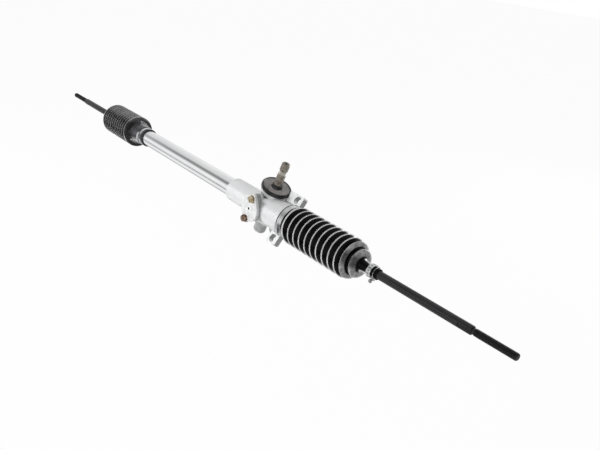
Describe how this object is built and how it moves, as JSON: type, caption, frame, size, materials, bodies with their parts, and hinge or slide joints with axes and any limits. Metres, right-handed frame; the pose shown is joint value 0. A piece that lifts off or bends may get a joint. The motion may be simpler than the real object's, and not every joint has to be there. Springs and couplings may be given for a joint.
{
  "type": "steering rack",
  "caption": "Rack and pinion steering gear: cast pinion housing with bolt lugs, steel tube, bellows boots, splined input shaft and threaded tie rods.",
  "frame": {"origin": "on the rack's axis, midway between the two lug holes and on the lugs' front face", "axes": "+X along the rack towards the pinion end, +Z in the plane of the rack and the leaning pinion, +Y from the yoke towards the pinion"},
  "size_m": [1.25, 0.0727, 0.1387],
  "materials": {
    "cast_aluminium": "as-cast, shot-blasted",
    "machined_aluminium": "turned",
    "tube_steel": "bright drawn",
    "ground_steel": "ground",
    "pinion_steel": "zinc with brown tint",
    "bearing_steel": "ground",
    "spring_steel": "oiled",
    "socket_steel": "turned and phosphated",
    "bronze": "sintered",
    "boot_rubber": "semi-gloss",
    "far_boot_rubber": "satin",
    "cover_rubber": "moulded, matt",
    "seal_rubber": "satin",
    "guide_plastic": "moulded",
    "gasket_paper": "pressed fibre",
    "cover_zinc": "bright zinc",
    "yellow_zinc": "yellow passivated zinc",
    "clamp_steel": "bright strip",
    "rod_steel": "satin black"
  },
  "bodies": {
    "housing": {"pinion_housing": "cast_aluminium", "rack_tube": "tube_steel", "rack_bush": "guide_plastic", "upper_bearing_outer_race": "bearing_steel", "bearing_circlip": "spring_steel", "pinion_seal": "seal_rubber", "lower_bush": "bronze", "bottom_plug": "cover_zinc", "dust_cover": "cover_rubber", "yoke_slipper": "machined_aluminium", "yoke_pad": "guide_plastic", "yoke_o_ring": "seal_rubber", "yoke_spring": "spring_steel", "cover_gasket": "gasket_paper", "yoke_cover": "cover_zinc", "cover_bolts": "yellow_zinc", "near_boot": "boot_rubber", "far_boot": "far_boot_rubber", "near_boot_clamp": "clamp_steel", "near_boot_clamp_screw": "clamp_steel", "far_boot_clamp": "clamp_steel", "far_boot_clamp_screw": "clamp_steel"},
    "rack": {"rack_bar": "ground_steel", "near_lock_washer": "spring_steel", "far_lock_washer": "spring_steel", "near_ball_socket": "socket_steel", "far_ball_socket": "socket_steel", "near_ball_seat": "guide_plastic", "far_ball_seat": "guide_plastic"},
    "pinion": {"pinion_shaft": "pinion_steel", "upper_bearing_inner_race": "bearing_steel"},
    "near_tie_rod": {"near_tie_rod": "rod_steel", "near_rod_clamp": "clamp_steel", "near_rod_clamp_screw": "clamp_steel"},
    "far_tie_rod": {"far_tie_rod": "rod_steel", "far_rod_clamp": "clamp_steel", "far_rod_clamp_screw": "clamp_steel"}
  },
  "joints": [
    {"name": "rack_slide", "type": "slide", "parent": "housing", "child": "rack", "axis": [1, 0, 0], "range_m": [-0.0933, 0.0523], "deforming": ["near_boot", "far_boot"]},
    {"name": "pinion_turn", "type": "hinge", "parent": "housing", "child": "pinion", "pos_m": [-0.0575, 0.01189, 0], "axis": [0.3338, 0, 0.9426], "range_deg": [-757, 424]},
    {"name": "near_tie_rod_swing", "type": "hinge", "parent": "rack", "child": "near_tie_rod", "pos_m": [0.14, 0, 0], "axis": [0, 1, 0], "range_deg": [-25, 25], "deforming": ["near_boot"]},
    {"name": "far_tie_rod_swing", "type": "hinge", "parent": "rack", "child": "far_tie_rod", "pos_m": [-0.548, 0, 0], "axis": [0, 1, 0], "range_deg": [-25, 25], "deforming": ["far_boot"]}
  ],
  "couplings": [
    {"joint": "pinion_turn", "follows": "rack_slide", "rad_per_m": 141.75}
  ]
}
